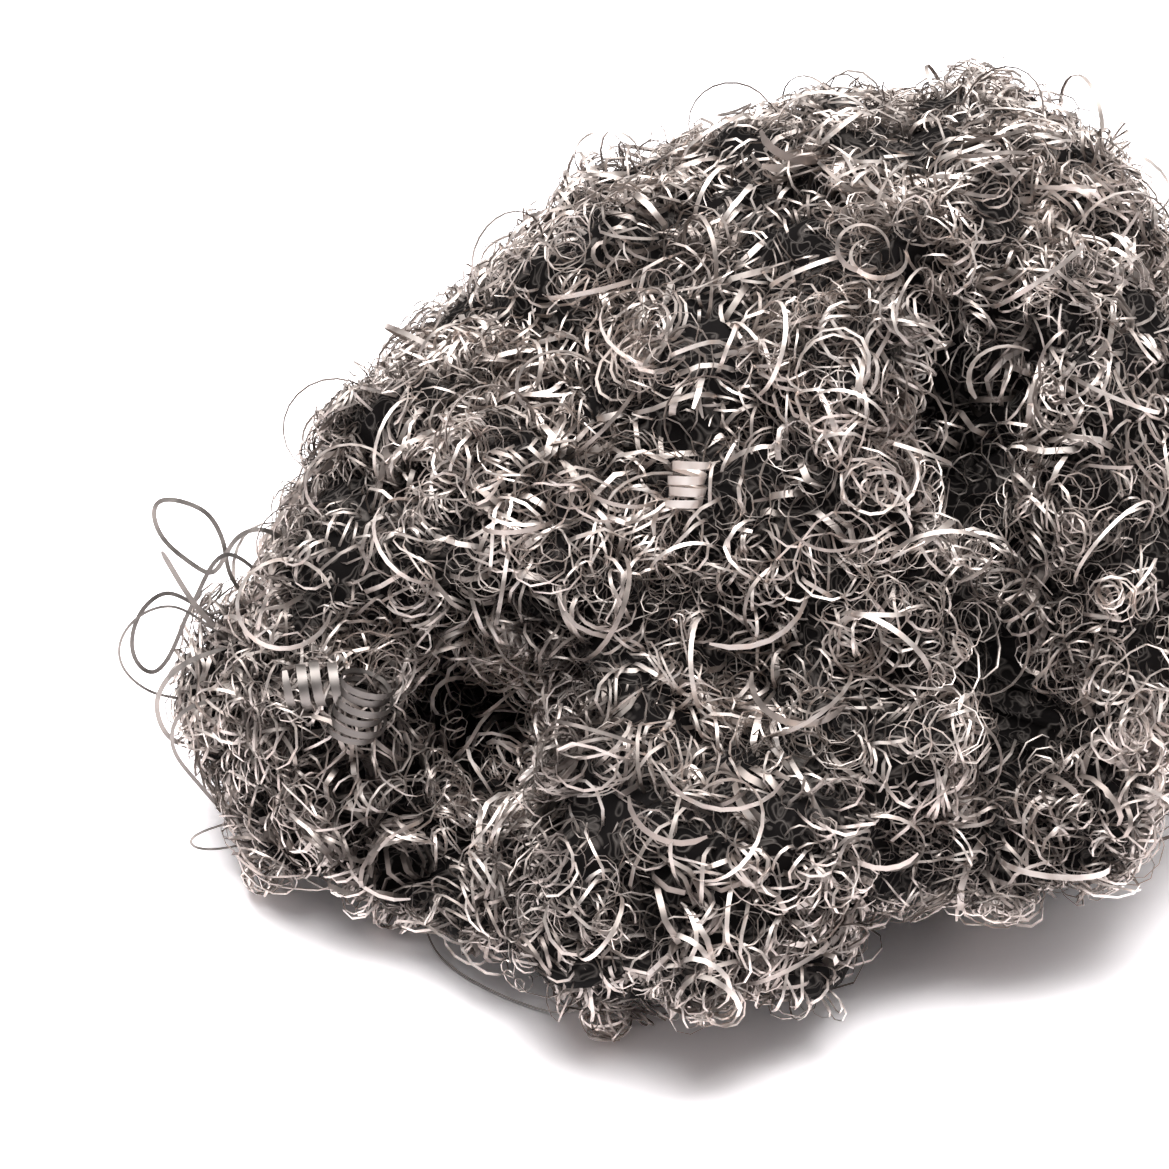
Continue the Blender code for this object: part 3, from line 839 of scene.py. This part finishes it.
# %% Put the pieces in place of the solid
dressed = [(heart, deep_wool), (wool_strays, shaded_stray_steel)]
for piece, material in dressed + [(piece, ribbon_steel) for piece in pieces]:
    piece.data.materials.clear()
    piece.data.materials.append(material)
    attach(piece, "root")
    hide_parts("wool_roll")
print(len(dressed) + len(pieces), "pieces stand for the solid")

# %% [markdown]
# ## Floor and light
#
# The roll lies on white paper under one soft lamp, nearly overhead. Metal needs something to
# mirror, so the room is bright above and behind, and dark at the sides. To the camera, and in
# the steel, the paper is whiter than real paper, as in a picture of goods for sale.

# %% White floor
PAPER = (0.88, 0.875, 0.88, 1)
PAPER_TO_CAMERA = (1.55, 1.50, 1.53, 1)
FLOOR_METRES = 3
bpy.ops.mesh.primitive_plane_add(size=FLOOR_METRES)
floor = bpy.context.object
floor.name = "floor"
white, tree, shader = new_material("floor_white")
shader.inputs["Base Color"].default_value = PAPER
shader.inputs["Roughness"].default_value = 0.9
rays = node(tree, "LightPath").outputs
seen = rays["Is Camera Ray"]
for kind in ("Is Glossy Ray", "Is Transmission Ray"):
    seen = node(tree, "Math", ((0, seen), (1, rays[kind])), operation="MAXIMUM").outputs[0]
paper = node(tree, "BsdfDiffuse", (("Color", PAPER_TO_CAMERA),))
both = node(tree, "MixShader", ((0, seen), (1, shader.outputs["BSDF"]), (2, paper.outputs["BSDF"])))
tree.links.new(both.outputs["Shader"], tree.nodes["Material Output"].inputs["Surface"])
floor.data.materials.append(white)
print("the paper is", FLOOR_METRES, "m wide")

# %% Room and lamps
BRIGHTEST_WAY = (0.25, 0.50, 0.83)
ROOM_STRENGTH = 1.05
LAMPS_AIM_AT = (20.0, 55.0, 25.0)
world = bpy.data.worlds.new("studio")
bpy.context.scene.world = world
world.use_nodes = True
tree = world.node_tree
way = node(tree, "TexCoord").outputs["Generated"]
high = node(tree, "VectorMath", ((0, way), (1, BRIGHTEST_WAY)), operation="DOT_PRODUCT")
sky = node(tree, "ValToRGB", (("Fac", high.outputs["Value"]),))
ramp = sky.color_ramp
ramp.elements[0].position, ramp.elements[0].color = 0.05, (0.10, 0.10, 0.10, 1)
ramp.elements[1].position, ramp.elements[1].color = 0.95, (1.0, 1.0, 1.0, 1)
ramp.elements.new(0.5).color = (0.22, 0.22, 0.22, 1)
room = tree.nodes["Background"]
tree.links.new(sky.outputs["Color"], room.inputs["Color"])
room.inputs["Strength"].default_value = ROOM_STRENGTH
seen = node(tree, "LightPath").outputs["Is Camera Ray"]
white_room = node(tree, "Background", (("Color", (1, 1, 1, 1)), ("Strength", 1.0)))
both = node(tree, "MixShader", ((0, seen), (1, room.outputs[0]), (2, white_room.outputs[0])))
tree.links.new(both.outputs[0], tree.nodes["World Output"].inputs["Surface"])


def softbox(name, place, size, power):
    """A square lamp that faces the roll."""
    light = bpy.data.lights.new(name, "AREA")
    light.shape = "RECTANGLE"
    light.size, light.size_y = size
    light.energy = power
    lamp = bpy.data.objects.new(name, light)
    lamp.location = metres(place)
    aim = Vector(metres(LAMPS_AIM_AT)) - lamp.location
    lamp.rotation_euler = aim.to_track_quat("-Z", "Y").to_euler()
    bpy.context.scene.collection.objects.link(lamp)
    print("the", name, "lamp has", power, "W")


# The fill is so weak that it only lifts the darkest gaps of the near end.
softbox("key", (-10.0, 45.0, 600.0), (0.45, 0.45), 6.6)
softbox("fill", (-300.0, -350.0, 260.0), (0.2, 0.2), 0.1)
